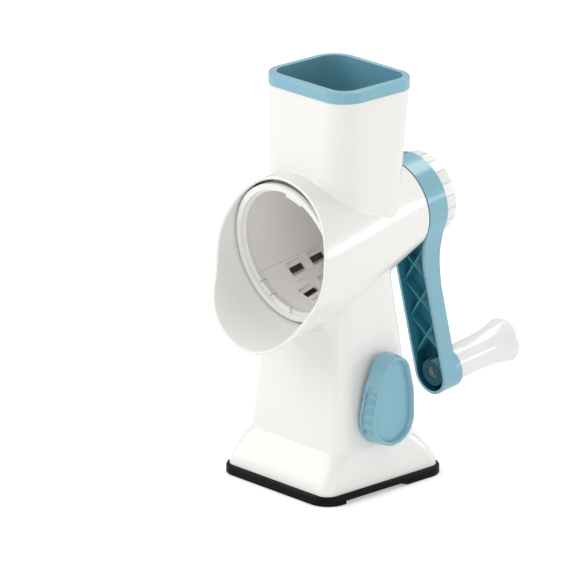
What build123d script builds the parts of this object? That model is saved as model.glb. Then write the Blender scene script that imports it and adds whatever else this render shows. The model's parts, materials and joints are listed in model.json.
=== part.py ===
from build123d import *
import os
from math import asin, cos, pi, radians, sin, sqrt

# Hand cranked ice shaver. Millimetres, +Z up. The origin is the middle of the base on the floor, the
# discharge mouth faces -Y, the crank is at +Y and the suction lever is on the +X side.
# "Station" is a distance along the tilted barrel axis, rearward positive, from the plane through the origin.

# ---------------------------------------------------------------- fits
running_clearance = 0.06        # radial, shaft in bush
seat_clearance = 0.10           # round pieces that are pushed or screwed home
turning_clearance = 0.50        # between faces that turn past each other
loose_clearance = 0.40          # round pieces that drop into place
spare = 1.0                     # how far a cut runs past the face it leaves

# ---------------------------------------------------------------- housing
overall_height = 283.0
wall = 2.6
barrel_tilt = 7.2               # degrees, mouth end low
axis_height = 171.3             # barrel axis above the floor at the origin
barrel_rear_station = 62.0
barrel_rear_radius = 32.0
barrel_waist_station = 20.0
barrel_waist_radius = 42.6
barrel_throat_station = -22.0
barrel_throat_radius = 51.9
mouth_neck_station = -45.0
mouth_neck_radius = 54.2
mouth_flare_station = -70.0
mouth_flare_radius = 55.5
mouth_lip_station = -94.0
mouth_lip_radius = 61.0
rear_wall = 4.0
barrel_edge_round = 2.0
rim_cut_station = -130.0
mouth_edge_round = 1.1
mouth_edge_front = -61.0        # only the rim's edges reach further towards the front
# stations and heights above the axis of the mouth's rim, seen from the side
rim_points = [
    (-36.5, 66.0),
    (-41.5, 40.0),
    (-54.5, 7.0),
    (-62.5, -16.0),
    (-75.0, -34.0),
    (-84.7, -54.0),
    (-92.0, -72.0),
]

hopper_low_half_x = 40.7        # at the height of the barrel axis
hopper_low_half_y = 35.3
hopper_low_centre_y = 1.9
hopper_low_corner = 26.0
hopper_top_half_x = 42.2        # at the full height
hopper_top_half_y = 35.2
hopper_top_centre_y = 8.2
hopper_top_corner = 17.0
hopper_saddle_round = 1.5

pedestal_crease_height = 31.0
pedestal_low_half_x = 48.5
pedestal_low_half_y = 37.1
pedestal_high_height = 165.0    # inside the barrel
pedestal_high_half_x = 35.1
pedestal_high_half_y = 25.0
pedestal_corner_radius = 12.0
pedestal_saddle_round = 7.0     # soft run from the column into the barrel

base_half_x = 52.2
base_half_y = 53.1
base_corner_radius = 9.0
skirt_bulge = 1.6               # exponent of the skirt's outline, 1 is straight
skirt_sections = 5

# ---------------------------------------------------------------- hopper collar
collar_band_height = 8.0
collar_proud = 0.7
collar_lip_thickness = 3.0
collar_liner_wall = 1.8
collar_liner_depth = 42.0
collar_round = 1.2

# ---------------------------------------------------------------- drum
drum_front_station = -42.0
drum_ring_radius = 49.6
drum_ring_depth = 3.0
drum_ring_face = 4.0            # radial width of the ring's front face
drum_lip_width = 2.0
drum_lip_thickness = 1.6
drum_front_radius = 48.6        # cone just behind the ring
drum_rear_station = 49.0
drum_rear_radius = 30.8
drum_wall = 2.2
drum_end_wall = 3.0
drum_lug_start = 6.0            # degrees from the top towards +X
drum_lug_span = 20.0
drum_lug_depth = 1.6
drum_slit_angles = (-132.0, -147.5, -169.0, -5.8)
drum_slit_width = 0.9
drum_slit_length = 7.5
drum_slit_depth = 1.1

# ---------------------------------------------------------------- blade panels and blades
panel_angles = (-124.0, 56.0)   # start of each panel; it spans towards the bottom or the top
panel_span = 60.0
panel_front_station = -33.5
panel_rear_station = 36.0
blade_pitch = 17.2
blade_column_angles = (-13.0, -42.0)
blade_column_stations = (-9.6, -14.7)
blades_in_column = 3
window_length = 11.0
window_width = 7.0
blade_length = 13.0
blade_width = 6.5
blade_thickness = 0.8
blade_overhang = 2.4            # how far the cutting edge stands over the window
blade_seat_depth = 0.5
blade_bevel = 0.5
rest_length = 5.0               # low ridge inside, below the front end of each window
rest_width = 2.6
rest_height = 1.5
rest_shift = 4.0                # towards the mouth, from the middle of the window
rest_root = 0.4                 # how far it is sunk into the panel
panel_edge_gap = 0.15
panel_edge_angle = 0.2          # degrees

# ---------------------------------------------------------------- spindle, rear bush and cap
spindle_radius = 7.0
spindle_flange_radius = 13.0
spindle_flange_thickness = 2.5
spindle_square = 9.0
spindle_thread_radius = 4.0
spindle_screw_circle = 10.0
spindle_screw_count = 3
spindle_screw_radius = 1.2
spindle_screw_head_radius = 2.3
spindle_screw_head_height = 1.4
bush_wall = 2.0
bush_flange_width = 2.5
bush_flange_thickness = 1.5
bush_housing_wall = 2.5
bush_housing_reach = 4.0        # boss in front of the rear wall

hub_radius = 31.9
hub_depth = 16.5
hub_boss_radius = 12.0
washer_radius = 9.0
washer_thickness = 1.2

cap_radius = 28.9
cap_depth = 11.6
cap_wall = 2.4
cap_rib_count = 20
cap_rib_height = 0.4
cap_rib_share = 0.9             # part of each pitch that the rib fills
cap_boss_radius = 8.0
cap_round = 1.2
insert_wall = 2.0

# ---------------------------------------------------------------- crank arm
crank_radius = 125.4
arm_lean = 6.5                  # degrees from straight down towards +X, as parked
arm_half_width = 15.0
arm_front_inset = 0.4
arm_depth = 12.0
arm_wall = 2.2
arm_neck_round = 52.0
arm_slope_start = 30.0
arm_slope_end = 62.0
arm_rib_pitch = 26.0
arm_rib_start = 46.0
arm_rib_count = 3
arm_rib_thickness = 1.5
arm_rib_inset = 3.5
arm_boss_radius = 9.5
arm_nut_seat = 6.5              # behind the arm's front
arm_boss_reach = 5.0            # behind the arm's back

# ---------------------------------------------------------------- handle
pin_radius = 4.0
pin_thread_radius = 2.5
pin_head_radius = 6.5
pin_head_height = 2.5
nut_across_flats = 8.0
nut_height = 4.0
grip_length = 57.0
grip_root_radius = 12.3
grip_waist_radius = 12.3
grip_waist_share = 0.3          # of the way along the grip
grip_flare_radius = 12.9
grip_flare_share = 0.63
grip_rise_radius = 14.2
grip_rise_share = 0.79
grip_end_radius = 15.7
grip_nose_round = 5.0
plug_radius = 8.0
plug_thickness = 3.0

# ---------------------------------------------------------------- suction pad, base plate and screws
pad_height = 6.4
pad_overhang = 3.6
pad_corner_radius = 15.5
pad_membrane = 2.4
pad_flange_width = 12.0
pad_boss_radius = 14.0
pad_boss_height = 5.6
pad_edge_round = 1.5
notch_height = 2.8              # finger notch under the edge on the lever's side
notch_depth = 5.0
notch_front = -38.5
notch_full = 11.0               # from here it runs out to nothing
notch_rear = 27.0
plate_thickness = 3.0
screw_x = 42.0
screw_y = 30.5
post_radius = 4.5
post_top = 50.0
base_screw_radius = 1.5
base_screw_head_radius = 3.0
base_screw_head_height = 2.0
base_screw_length = 14.0

# ---------------------------------------------------------------- suction lever and lift
lever_height = 53.6
lever_range = 90.0              # degrees
lift_travel = 3.5               # rise of the pad's middle over the lever's range
shaft_radius = 6.0
shaft_inner_end = -16.0
lever_bush_wall = 2.0
lever_boss_wall = 2.5
lever_boss_reach = 9.0
lever_bush_flange_width = 2.0
lever_bush_flange_thickness = 1.2
knob_back = 48.9
knob_depth = 13.3
knob_big_radius = 19.0
knob_flare = 1.1                # how much wider the knob is at the back
knob_foot = 1.0                 # straight part of its side, next to the wall
knob_small_radius = 11.8
knob_middle_radius = 16.9       # swells the side between the two ends
knob_middle_share = 0.5
knob_centre_distance = 31.2
knob_lean = 6.5                 # degrees from straight up towards +Y
knob_rim = 2.3
knob_recess = 3.0
knob_wall = 2.2
knob_face = 3.8
knob_cover_thickness = 1.6
knob_boss_radius = 8.5
knob_round = 0.9
flute_count = 5
flute_pitch = 6.6
flute_first = -7.5              # along the flank from where it leaves the big circle
flute_radius = 5.6
flute_depth = 0.9
flute_back_margin = 3.0
flute_front_margin = 1.5
shaft_square = 8.0
lever_screw_radius = 1.5
lever_screw_head_radius = 3.5
lever_screw_head_height = 1.6
lever_screw_length = 14.0

bearing_gap = 22.0              # between the two bearing plates
bearing_thickness = 4.0
bearing_half_width = 10.0
cam_width = 8.0
cam_base_radius = 9.0
cam_gap = 0.3                   # round the cam, the stud and the screw heads
cam_pin_radius = 1.5
yoke_width = 14.0
yoke_bar = 4.0
yoke_side = 4.0
stem_radius = 6.0
guide_wall = 2.5
guide_top = 24.0
stud_disc_radius = 9.0
stud_disc_thickness = 1.4
stud_radius = 3.0
stud_reach = 12.0
stud_pin_radius = 1.2

# ---------------------------------------------------------------- derived places
tilt = radians(barrel_tilt)
axis_origin = Vector(0, 0, axis_height)
sideways = Vector(1, 0, 0)
rearward = Vector(0, cos(tilt), sin(tilt))
barrel_up = Vector(0, -sin(tilt), cos(tilt))
barrel_axis = Axis(axis_origin, rearward)

lean = radians(arm_lean)
outward = sideways * sin(lean) - barrel_up * cos(lean)
handle_centre = axis_origin + outward * crank_radius
handle_axis = Axis(handle_centre, rearward)

hub_front = barrel_rear_station + turning_clearance
hub_rear = hub_front + hub_depth
arm_front = hub_front + arm_front_inset
arm_rear = arm_front + arm_depth
arm_floor = arm_rear - arm_wall
boss_rear = arm_rear + arm_boss_reach
cap_rear = hub_rear + cap_depth
grip_front = boss_rear + turning_clearance
grip_rear = grip_front + grip_length
chamber_end = barrel_rear_station - rear_wall
base_top = pad_height
lift_rate = lift_travel / radians(lever_range)
blade_middle = window_width / 2 + blade_width / 2 - blade_overhang


# ---------------------------------------------------------------- planes and outlines
def radial_plane(angle):
    """Plane that holds the barrel axis: X runs rearward, Y outward at an angle from the top towards +X."""
    out = barrel_up * cos(radians(angle)) + sideways * sin(radians(angle))
    return Plane(origin=axis_origin, x_dir=rearward, z_dir=rearward.cross(out))


def across(station):
    """Plane square to the barrel axis that faces the mouth: X is sideways, Y is up the barrel."""
    return Plane(origin=axis_origin + rearward * station, x_dir=sideways, z_dir=rearward * -1)


def arm_plane(station):
    """Plane square to the barrel axis that faces the mouth: X runs down the crank arm."""
    return Plane(origin=axis_origin + rearward * station, x_dir=outward, z_dir=rearward * -1)


def barrel_radius(station):
    """Outer radius of the barrel behind its waist."""
    share = (barrel_rear_station - station) / (barrel_rear_station - barrel_waist_station)
    return barrel_rear_radius + share * (barrel_waist_radius - barrel_rear_radius)


def barrel_stations(inset, start):
    """Stations and radii of the barrel's surface, inset all round, from a station to the lip."""
    return [
        (start, barrel_radius(start) - inset),
        (barrel_waist_station, barrel_waist_radius - inset),
        (barrel_throat_station, barrel_throat_radius - inset),
        (mouth_neck_station, mouth_neck_radius - inset),
        (mouth_flare_station, mouth_flare_radius - inset),
        (mouth_lip_station, mouth_lip_radius - inset),
    ]


def drum_radius(station):
    """Outer radius of the drum's cone."""
    cone_start = drum_front_station + drum_ring_depth
    share = (station - cone_start) / (drum_rear_station - cone_start)
    return drum_front_radius + share * (drum_rear_radius - drum_front_radius)


def hopper_section(height):
    """Half width, half depth, middle Y and corner radius of the hopper's outside at a height."""
    share = (height - axis_height) / (overall_height - axis_height)
    half_x = hopper_low_half_x + share * (hopper_top_half_x - hopper_low_half_x)
    half_y = hopper_low_half_y + share * (hopper_top_half_y - hopper_low_half_y)
    centre_y = hopper_low_centre_y + share * (hopper_top_centre_y - hopper_low_centre_y)
    corner = hopper_low_corner + share * (hopper_top_corner - hopper_low_corner)
    return half_x, half_y, centre_y, corner


def hopper_loft(low, high, inset, mode=Mode.ADD):
    """Solid of the hopper's outside shape, inset all round, between two heights."""
    sections = []
    for height in (low, high):
        half_x, half_y, centre_y, corner = hopper_section(height)
        with BuildSketch(Plane.XY.offset(height)) as section:
            with Locations((0, centre_y)):
                RectangleRounded(2 * (half_x - inset), 2 * (half_y - inset), corner - inset)
        sections.append(section.sketch)
    loft(sections, ruled=True, mode=mode)


def pedestal_half(height):
    """Half width and half depth of the pedestal's outside at a height above the crease."""
    share = (height - pedestal_crease_height) / (pedestal_high_height - pedestal_crease_height)
    half_x = pedestal_low_half_x + share * (pedestal_high_half_x - pedestal_low_half_x)
    half_y = pedestal_low_half_y + share * (pedestal_high_half_y - pedestal_low_half_y)
    return half_x, half_y


def pedestal_loft(top, inset, mode=Mode.ADD):
    """Tapered column from the crease up to a height, inset all round."""
    sections = []
    for height in (pedestal_crease_height, top):
        half_x, half_y = pedestal_half(height)
        with BuildSketch(Plane.XY.offset(height)) as section:
            RectangleRounded(2 * (half_x - inset), 2 * (half_y - inset), pedestal_corner_radius - inset)
        sections.append(section.sketch)
    loft(sections, ruled=True, mode=mode)


def skirt_loft(inset, mode=Mode.ADD):
    """Flared skirt from the crease down to the base edge, inset all round."""
    sections = []
    for step in range(skirt_sections):
        height = pedestal_crease_height + step / (skirt_sections - 1) * (base_top - pedestal_crease_height)
        half_x, half_y, corner = skirt_half(height)
        with BuildSketch(Plane.XY.offset(height)) as section:
            RectangleRounded(2 * (half_x - inset), 2 * (half_y - inset), corner - inset)
        sections.append(section.sketch)
    loft(sections, mode=mode)


def barrel_solid(inset, start, mode=Mode.ADD):
    """Solid of revolution of the barrel's surface, inset all round, from a station to the lip."""
    stations = barrel_stations(inset, start)
    with BuildSketch(radial_plane(0)) as profile:
        with BuildLine():
            Spline(*stations)
            Polyline(stations[-1], (mouth_lip_station, 0), (start, 0), stations[0])
        make_face()
    revolve(profile.sketch, axis=barrel_axis, mode=mode)


def crank_outline(inset):
    """Hub, neck, arm and round end of the crank, inset all round, in the arm plane."""
    Circle(hub_radius - inset)
    with Locations((crank_radius / 2, 0)):
        Rectangle(crank_radius, 2 * (arm_half_width - inset))
    with Locations((crank_radius, 0)):
        Circle(arm_half_width - inset)
    fillet(vertices().group_by(Axis.X)[0], arm_neck_round + inset)


def skirt_half(height):
    """Half width, half depth and corner radius of the skirt's outside at a height."""
    drop = (pedestal_crease_height - height) / (pedestal_crease_height - base_top)
    spread = 1 - (1 - drop) ** skirt_bulge
    half_x = pedestal_low_half_x + spread * (base_half_x - pedestal_low_half_x)
    half_y = pedestal_low_half_y + spread * (base_half_y - pedestal_low_half_y)
    corner = pedestal_corner_radius + spread * (base_corner_radius - pedestal_corner_radius)
    return half_x, half_y, corner


def wall_plane(station, angle):
    """Plane that lies on the drum's cone: X runs rearward along it, Z stands out of it."""
    out = barrel_up * cos(radians(angle)) + sideways * sin(radians(angle))
    slope = drum_radius(0) - drum_radius(1)
    along = rearward - out * slope
    normal = out + rearward * slope
    return Plane(
        origin=axis_origin + rearward * station + out * drum_radius(station),
        x_dir=along,
        z_dir=normal,
    )


def panel_section(gap, extra):
    """Section of a blade panel, shrunk at its ends by a gap, or made thicker by an extra to cut its seat."""
    front = panel_front_station + gap
    rear = panel_rear_station - gap
    return [
        (front, drum_radius(front) + extra),
        (rear, drum_radius(rear) + extra),
        (rear, drum_radius(rear) - drum_wall - extra),
        (front, drum_radius(front) - drum_wall - extra),
    ]


def handle_plane(station):
    """Plane square to the handle's axis that faces the mouth."""
    return Plane(origin=handle_centre + rearward * station, x_dir=outward, z_dir=rearward * -1)


def lever_plane(x):
    """Plane square to the lever's shaft that faces +X, with its origin on the shaft's axis."""
    return Plane(origin=(x, 0, lever_height), x_dir=(0, 1, 0), z_dir=(1, 0, 0))


def cam_point(turn):
    """Point of the cam that lifts a flat bar in proportion to the turn."""
    reach = cam_base_radius + lift_rate * turn
    return (-reach * sin(turn) - lift_rate * cos(turn), reach * cos(turn) - lift_rate * sin(turn))


def knob_outline(inset):
    """Egg shape of the lever knob, inset all round, narrow end up and leaning rearward."""
    top = Vector(sin(radians(knob_lean)), cos(radians(knob_lean))) * knob_centre_distance
    with BuildSketch(mode=Mode.PRIVATE) as rounds:
        Circle(knob_big_radius - inset)
        with Locations(top * knob_middle_share):
            Circle(knob_middle_radius - inset)
        with Locations(top):
            Circle(knob_small_radius - inset)
    make_hull(rounds.edges())


def flute_place(row):
    """Centre of a finger groove, counted up the front flank of the knob."""
    taper = asin((knob_big_radius - knob_middle_radius) / (knob_centre_distance * knob_middle_share))
    rise = radians(knob_lean) + taper
    distance = flute_first + row * flute_pitch
    bend = max(0, -distance) / knob_big_radius
    climb = max(0, distance)
    reach = knob_big_radius + knob_flare / 2 + flute_radius - flute_depth
    return (
        -reach * cos(rise - bend) + climb * sin(rise),
        reach * sin(rise - bend) + climb * cos(rise),
    )


def tube(plane, outer, inner, length, mode=Mode.ADD):
    """Round tube, or a disc where the inner radius is nought, from a plane along its normal."""
    with BuildSketch(plane) as ring:
        Circle(outer)
        if inner:
            Circle(inner, mode=Mode.SUBTRACT)
    extrude(ring.sketch, amount=length, mode=mode)


# ---------------------------------------------------------------- main housing
shaft_bore_radius = shaft_radius + running_clearance
lever_bush_radius = shaft_bore_radius + lever_bush_wall
lever_bore_radius = lever_bush_radius + seat_clearance
spindle_bore_radius = spindle_radius + running_clearance
rear_bush_radius = spindle_bore_radius + bush_wall
rear_bore_radius = rear_bush_radius + seat_clearance
rear_boss_radius = rear_bore_radius + bush_housing_wall
rear_boss_front = chamber_end - bush_housing_reach
rear_boss_length = barrel_rear_station - rear_boss_front
lever_boss_radius = lever_bore_radius + lever_boss_wall
wall_at_lever = pedestal_half(lever_height)[0]
lever_boss_inner = wall_at_lever - lever_boss_reach
band_foot = overall_height - collar_band_height
housing_top = overall_height - collar_lip_thickness
rebate = collar_liner_wall - collar_proud
plate_top = base_top + plate_thickness
screw_places = [(x, y) for x in (-screw_x, screw_x) for y in (-screw_y, screw_y)]
base_screw_top = base_top + base_screw_head_height + base_screw_length

# space inside the pedestal, clear of the barrel's own wall
with BuildPart() as pedestal_space:
    pedestal_loft(pedestal_high_height, wall)
    skirt_loft(wall)
    barrel_solid(0, barrel_rear_station, Mode.SUBTRACT)
    # posts that the base screws go into
    with BuildSketch(Plane.XY.offset(plate_top)):
        with Locations(*screw_places):
            Circle(post_radius)
    extrude(amount=post_top - plate_top, mode=Mode.SUBTRACT)
    # boss round the lever's bush
    tube(lever_plane(lever_boss_inner), lever_boss_radius, 0, lever_boss_reach + wall, Mode.SUBTRACT)

with BuildPart() as main_housing:
    barrel_solid(0, barrel_rear_station)
    fillet(edges().filter_by(GeomType.CIRCLE).sort_by(Axis.Y)[-1], barrel_edge_round)
    hopper_loft(axis_height, housing_top, 0)
    saddle = edges().filter_by(lambda e: axis_height < e.bounding_box().min.Z)
    saddle = saddle.filter_by(lambda e: e.bounding_box().max.Z < band_foot)
    fillet(saddle.filter_by(lambda e: e.bounding_box().size.X > wall), hopper_saddle_round)
    pedestal_loft(pedestal_high_height, 0)
    shoulder = edges().filter_by(lambda e: pedestal_crease_height < e.bounding_box().min.Z)
    shoulder = shoulder.filter_by(lambda e: e.bounding_box().max.Z < pedestal_high_height)
    fillet(shoulder, pedestal_saddle_round)
    skirt_loft(0)
    # mouth rim, an S curve seen from the side
    with BuildSketch(radial_plane(0)):
        with BuildLine():
            rim = Spline(*rim_points)
            rim_top = rim_points[0][1]
            rim_bottom = rim_points[-1][1]
            Polyline(rim @ 1, (rim_cut_station, rim_bottom), (rim_cut_station, rim_top), rim @ 0)
        make_face()
    extrude(amount=2 * mouth_lip_radius, both=True, mode=Mode.SUBTRACT)
    # room for the drum, behind it the boss for the spindle's bush
    barrel_solid(wall, chamber_end, Mode.SUBTRACT)
    tube(across(barrel_rear_station), rear_boss_radius, 0, rear_boss_length)
    add(pedestal_space.part, mode=Mode.SUBTRACT)
    # hopper shaft down to the drum
    hopper_loft(axis_height, housing_top, wall, Mode.SUBTRACT)
    tube(across(barrel_rear_station), rear_bore_radius, 0, rear_boss_length, Mode.SUBTRACT)
    # seat of the collar round the top
    half_x, half_y, centre_y, corner = hopper_section(band_foot)
    with BuildSketch(Plane.XY.offset(band_foot)):
        with Locations((0, centre_y)):
            Rectangle(4 * half_x, 4 * half_y)
            RectangleRounded(
                2 * (half_x - rebate),
                2 * (half_y - rebate),
                corner - rebate,
                mode=Mode.SUBTRACT,
            )
    extrude(amount=collar_band_height, mode=Mode.SUBTRACT)
    # bore for the lever's bush and pilot holes of the base screws
    tube(lever_plane(lever_boss_inner), lever_bore_radius, 0, lever_boss_reach + wall, Mode.SUBTRACT)
    with BuildSketch(Plane.XY.offset(plate_top)):
        with Locations(*screw_places):
            Circle(base_screw_radius + seat_clearance)
    extrude(amount=base_screw_top + spare - plate_top, mode=Mode.SUBTRACT)
    # soft edge all along the mouth's rim
    rim_edges = edges().filter_by(lambda e: e.bounding_box().min.Y < mouth_edge_front)
    fillet(rim_edges, mouth_edge_round)

# ---------------------------------------------------------------- hopper collar
collar_half_x, collar_half_y, collar_centre_y, collar_corner = hopper_section(band_foot)
channel = rebate - loose_clearance
with BuildPart() as hopper_collar:
    with BuildSketch(Plane.XY.offset(band_foot)):
        with Locations((0, collar_centre_y)):
            RectangleRounded(
                2 * (collar_half_x + collar_proud),
                2 * (collar_half_y + collar_proud),
                collar_corner + collar_proud,
            )
    extrude(amount=collar_band_height)
    fillet(faces().sort_by(Axis.Z)[-1].edges(), collar_round)
    # channel that sits over the top of the hopper's wall
    with BuildSketch(Plane.XY.offset(band_foot)):
        with Locations((0, collar_centre_y)):
            RectangleRounded(
                2 * (collar_half_x - channel),
                2 * (collar_half_y - channel),
                collar_corner - channel,
            )
    extrude(amount=collar_band_height - collar_lip_thickness, mode=Mode.SUBTRACT)
    liner_foot = overall_height - collar_liner_depth
    liner_inset = wall + loose_clearance
    hopper_loft(liner_foot, overall_height - collar_lip_thickness / 2, liner_inset)
    hopper_loft(axis_height, overall_height + spare, liner_inset + collar_liner_wall, Mode.SUBTRACT)

# ---------------------------------------------------------------- drum
ring_rear = drum_front_station + drum_ring_depth
ring_inner = drum_ring_radius - drum_ring_face
lip_rear = ring_rear + drum_lip_thickness
lip_inner = ring_inner - drum_lip_width
end_wall_front = drum_rear_station - drum_end_wall
nose_bore_radius = spindle_radius + seat_clearance
screw_stations = PolarLocations(spindle_screw_circle, spindle_screw_count)
with BuildPart() as drum_frame:
    with BuildSketch(radial_plane(0)):
        Polygon(
            (drum_front_station, ring_inner),
            (drum_front_station, drum_ring_radius),
            (ring_rear, drum_ring_radius),
            (ring_rear, drum_front_radius),
            (drum_rear_station, drum_rear_radius),
            (drum_rear_station, nose_bore_radius),
            (end_wall_front, nose_bore_radius),
            (end_wall_front, drum_radius(end_wall_front) - drum_wall),
            (lip_rear, drum_radius(lip_rear) - drum_wall),
            (lip_rear, lip_inner),
            (ring_rear, lip_inner),
            (ring_rear, ring_inner),
            align=None,
        )
    revolve(axis=barrel_axis)
    # lugs that lock the panels' front ends
    for turn in (0, 180):
        with BuildSketch(radial_plane(drum_lug_start + turn)):
            Polygon(
                (ring_rear, ring_inner),
                (ring_rear, lip_inner - drum_lug_depth),
                (drum_front_station + drum_lug_depth, lip_inner - drum_lug_depth),
                (drum_front_station + drum_lug_depth, ring_inner),
                align=None,
            )
        revolve(axis=barrel_axis, revolution_arc=drum_lug_span)
    # slits beside the snap fingers
    slit_rear = ring_rear + drum_slit_length
    slit_inner = lip_inner - drum_lug_depth - spare
    for angle in drum_slit_angles:
        with BuildSketch(radial_plane(angle)):
            Polygon(
                (ring_rear, slit_inner),
                (ring_rear, drum_radius(ring_rear) - drum_wall + drum_slit_depth),
                (slit_rear, drum_radius(slit_rear) - drum_wall + drum_slit_depth),
                (slit_rear, slit_inner),
                align=None,
            )
        extrude(amount=drum_slit_width / 2, both=True, mode=Mode.SUBTRACT)
    # seats of the two blade panels
    for angle in panel_angles:
        with BuildSketch(radial_plane(angle - panel_span)):
            Polygon(*panel_section(0, spare), align=None)
        revolve(axis=barrel_axis, revolution_arc=panel_span, mode=Mode.SUBTRACT)
    # holes of the spindle screws
    with BuildSketch(across(drum_rear_station)):
        with screw_stations:
            Circle(spindle_screw_radius + seat_clearance)
    extrude(amount=drum_end_wall, mode=Mode.SUBTRACT)

# ---------------------------------------------------------------- blade panels and blades
blade_panels = []
ice_blades = []
for angle in panel_angles:
    with BuildPart() as blade_panel:
        with BuildSketch(radial_plane(angle - panel_span + panel_edge_angle)):
            Polygon(*panel_section(panel_edge_gap, 0), align=None)
        revolve(axis=barrel_axis, revolution_arc=panel_span - 2 * panel_edge_angle)
        for column, (turn, first) in enumerate(zip(blade_column_angles, blade_column_stations)):
            for row in range(blades_in_column):
                place = wall_plane(first + row * blade_pitch, angle + turn)
                with BuildSketch(place):
                    Rectangle(window_length, window_width)
                extrude(amount=2 * drum_wall, both=True, mode=Mode.SUBTRACT)
                # seat of the blade on the outside
                with BuildSketch(place.offset(-blade_seat_depth)):
                    with Locations((0, blade_middle)):
                        Rectangle(blade_length + 2 * seat_clearance, blade_width + 2 * seat_clearance)
                extrude(amount=drum_wall, mode=Mode.SUBTRACT)
                # scoop on the inside, ahead of the edge
                with BuildSketch(place.offset(-drum_wall / 2)):
                    with Locations((0, -window_width / 2)):
                        Rectangle(window_length, window_width)
                extrude(amount=-2 * drum_wall, mode=Mode.SUBTRACT)
                # rest that stiffens the panel behind the window
                with BuildSketch(place.offset(rest_root - drum_wall)):
                    with Locations((-rest_shift, window_width / 2 + blade_width / 2)):
                        SlotOverall(rest_length, rest_width)
                extrude(amount=-rest_root - rest_height)
    blade_panels.append(blade_panel)
    for turn, first in zip(blade_column_angles, blade_column_stations):
        for row in range(blades_in_column):
            place = wall_plane(first + row * blade_pitch, angle + turn)
            with BuildPart() as ice_blade:
                with BuildSketch(place.offset(-blade_seat_depth)):
                    with Locations((0, blade_middle)):
                        Rectangle(blade_length, blade_width)
                extrude(amount=blade_thickness)
                edge = edges().filter_by(lambda e: abs(e.length - blade_length) < 0.01)
                edge = edge.sort_by(lambda e: (e @ 0.5 - place.origin).dot(place.z_dir))[-2:]
                edge = edge.sort_by(lambda e: (e @ 0.5 - place.origin).dot(place.y_dir))[0]
                chamfer(edge, blade_bevel)
            ice_blades.append(ice_blade)

# ---------------------------------------------------------------- spindle, bush, washer and cap
flange_rear = drum_rear_station + spindle_flange_thickness
square_start = hub_front - turning_clearance / 2
thread_start = hub_rear - turning_clearance
thread_end = cap_rear - cap_wall - turning_clearance
with BuildPart() as spindle:
    tube(across(flange_rear), spindle_flange_radius, 0, spindle_flange_thickness)
    tube(across(drum_rear_station), spindle_radius, 0, drum_end_wall)
    tube(across(square_start), spindle_radius, 0, square_start - flange_rear)
    with BuildSketch(across(thread_start)):
        Rectangle(spindle_square, spindle_square)
    extrude(amount=thread_start - square_start)
    tube(across(thread_end), spindle_thread_radius, 0, thread_end - thread_start)
    with BuildSketch(across(flange_rear)):
        with screw_stations:
            Circle(spindle_screw_radius + seat_clearance)
    extrude(amount=spindle_flange_thickness, mode=Mode.SUBTRACT)

with BuildPart() as spindle_screws:
    with BuildSketch(across(flange_rear)):
        with screw_stations:
            Circle(spindle_screw_radius)
    extrude(amount=flange_rear - end_wall_front)
    with BuildSketch(across(end_wall_front)):
        with screw_stations:
            Circle(spindle_screw_head_radius)
    extrude(amount=spindle_screw_head_height)

with BuildPart() as rear_bush:
    tube(across(barrel_rear_station), rear_bush_radius, spindle_bore_radius, rear_boss_length)
    flange_radius = rear_bush_radius + bush_flange_width
    tube(across(rear_boss_front), flange_radius, spindle_bore_radius, bush_flange_thickness)

with BuildPart() as hub_washer:
    washer_bore = spindle_thread_radius + seat_clearance
    tube(across(hub_rear + washer_thickness), washer_radius, washer_bore, washer_thickness)

insert_radius = spindle_thread_radius + seat_clearance + insert_wall
boss_front = hub_rear + washer_thickness
cap_front = hub_rear + turning_clearance / 2
with BuildPart() as cap_nut:
    with BuildSketch(across(cap_rear)):
        Circle(cap_radius - cap_rib_height)
        with PolarLocations(cap_radius - cap_rib_height, cap_rib_count):
            Rectangle(2 * cap_rib_height, 2 * pi * cap_radius / cap_rib_count * cap_rib_share)
    extrude(amount=cap_rear - cap_front)
    fillet(faces().sort_by(Axis(axis_origin, rearward))[-1].outer_wire().edges(), cap_round)
    cap_inner_radius = cap_radius - cap_rib_height - cap_wall
    tube(across(cap_rear - cap_wall), cap_inner_radius, cap_boss_radius, cap_depth, Mode.SUBTRACT)
    tube(across(boss_front), cap_boss_radius, 0, boss_front - cap_front, Mode.SUBTRACT)
    tube(across(cap_rear - cap_wall), insert_radius + seat_clearance, 0, cap_depth, Mode.SUBTRACT)

with BuildPart() as cap_insert:
    tube(across(thread_end), insert_radius, spindle_thread_radius + seat_clearance, thread_end - boss_front)

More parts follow.
